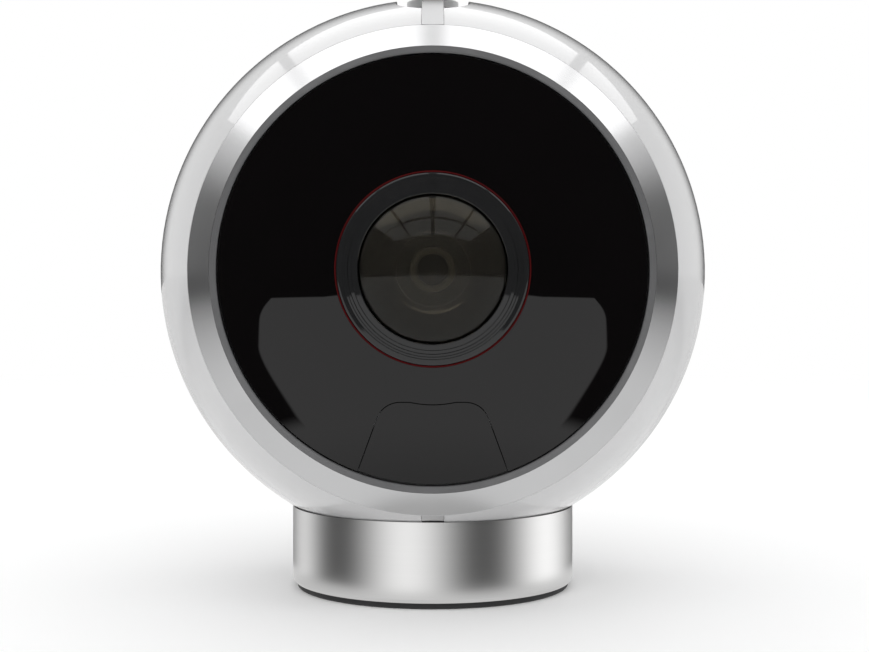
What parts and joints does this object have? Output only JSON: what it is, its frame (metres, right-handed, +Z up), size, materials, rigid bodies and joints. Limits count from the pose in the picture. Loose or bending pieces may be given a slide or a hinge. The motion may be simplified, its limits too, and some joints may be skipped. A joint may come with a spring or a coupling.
{
  "type": "panoramic security camera",
  "caption": "Ball-shaped panoramic camera with a lens in a black face on each side, a push button on top, a slide-out card drawer and a round metal base that it turns on.",
  "frame": {"origin": "on the floor, under the centre of the ball, on the axis that the ball turns about", "axes": "+Z up along the turning axis, -Y the way the front lens looks, +X to the right seen from the front"},
  "size_m": [0.08, 0.0758, 0.0867],
  "materials": {
    "shell": "light grey-white gloss",
    "bezel_metal": "fine satin, clear anodised",
    "base_metal": "brushed round the axis",
    "inner_metal": "machined",
    "grey_rubber": "soft mid-grey elastomer",
    "foot_rubber": "matt black",
    "face_black": "deep black, high gloss",
    "accent_red": "dark red",
    "barrel_black": "satin black",
    "lens_glass": "coated optical glass",
    "grille_black": "matt black",
    "black_plastic": "matt black moulding",
    "white_plastic": "natural low-friction plastic",
    "board_green": "solder-resist green",
    "flex_amber": "amber film",
    "steel": "bright steel",
    "brass": "gold-plated or plain brass"
  },
  "bodies": {
    "base": {"base_housing": "base_metal", "base_foot": "foot_rubber", "base_bottom_plate": "steel", "plate_screws": "steel", "base_board": "board_green", "pin_carrier": "black_plastic", "contact_pins": "brass", "power_socket": "steel", "swivel_post": "steel", "friction_washer": "white_plastic", "wave_washer": "steel", "retaining_ring": "steel"},
    "ball": {"antennas": "brass", "bezel_screws": "steel", "board_screws": "steel", "board_standoffs": "brass", "button_switch": "black_plastic", "card_reader": "steel", "flex_cables": "flex_amber", "front_accent_ring": "accent_red", "front_barrel": "barrel_black", "front_bezel": "bezel_metal", "front_camera_board": "board_green", "front_gasket": "grey_rubber", "front_glass": "face_black", "front_lens_dome": "lens_glass", "front_lens_group": "lens_glass", "front_lens_mount": "black_plastic", "front_retainer": "barrel_black", "hub_screws": "steel", "image_sensors": "black_plastic", "left_grille": "grille_black", "left_shell": "shell", "main_board": "board_green", "microphones": "steel", "power_board": "board_green", "power_coil": "black_plastic", "processor": "black_plastic", "rear_accent_ring": "accent_red", "rear_barrel": "barrel_black", "rear_bezel": "bezel_metal", "rear_camera_board": "board_green", "rear_gasket": "grey_rubber", "rear_glass": "face_black", "rear_lens_dome": "lens_glass", "rear_lens_group": "lens_glass", "rear_lens_mount": "black_plastic", "rear_retainer": "barrel_black", "right_grille": "grille_black", "right_shell": "shell", "slip_ring": "brass", "speaker": "black_plastic", "spine_frame": "bezel_metal", "swivel_bush": "white_plastic", "swivel_hub": "inner_metal"},
    "button": {"top_button": "bezel_metal", "button_clip": "steel", "switch_plunger": "white_plastic"},
    "drawer": {"card_drawer": "face_black", "memory_card": "black_plastic"}
  },
  "joints": [
    {"name": "pan_swivel", "type": "hinge", "parent": "base", "child": "ball", "pos_m": [0, 0, 0.04636], "axis": [0, 0, 1], "continuous": true},
    {"name": "button_press", "type": "slide", "parent": "ball", "child": "button", "axis": [0, 0, -1], "range_m": [0, 0.0005], "stiffness_N_per_m": 800, "springref_m": -0.001},
    {"name": "drawer_slide", "type": "slide", "parent": "ball", "child": "drawer", "axis": [0, -1, 0], "range_m": [0, 0.012]}
  ]
}
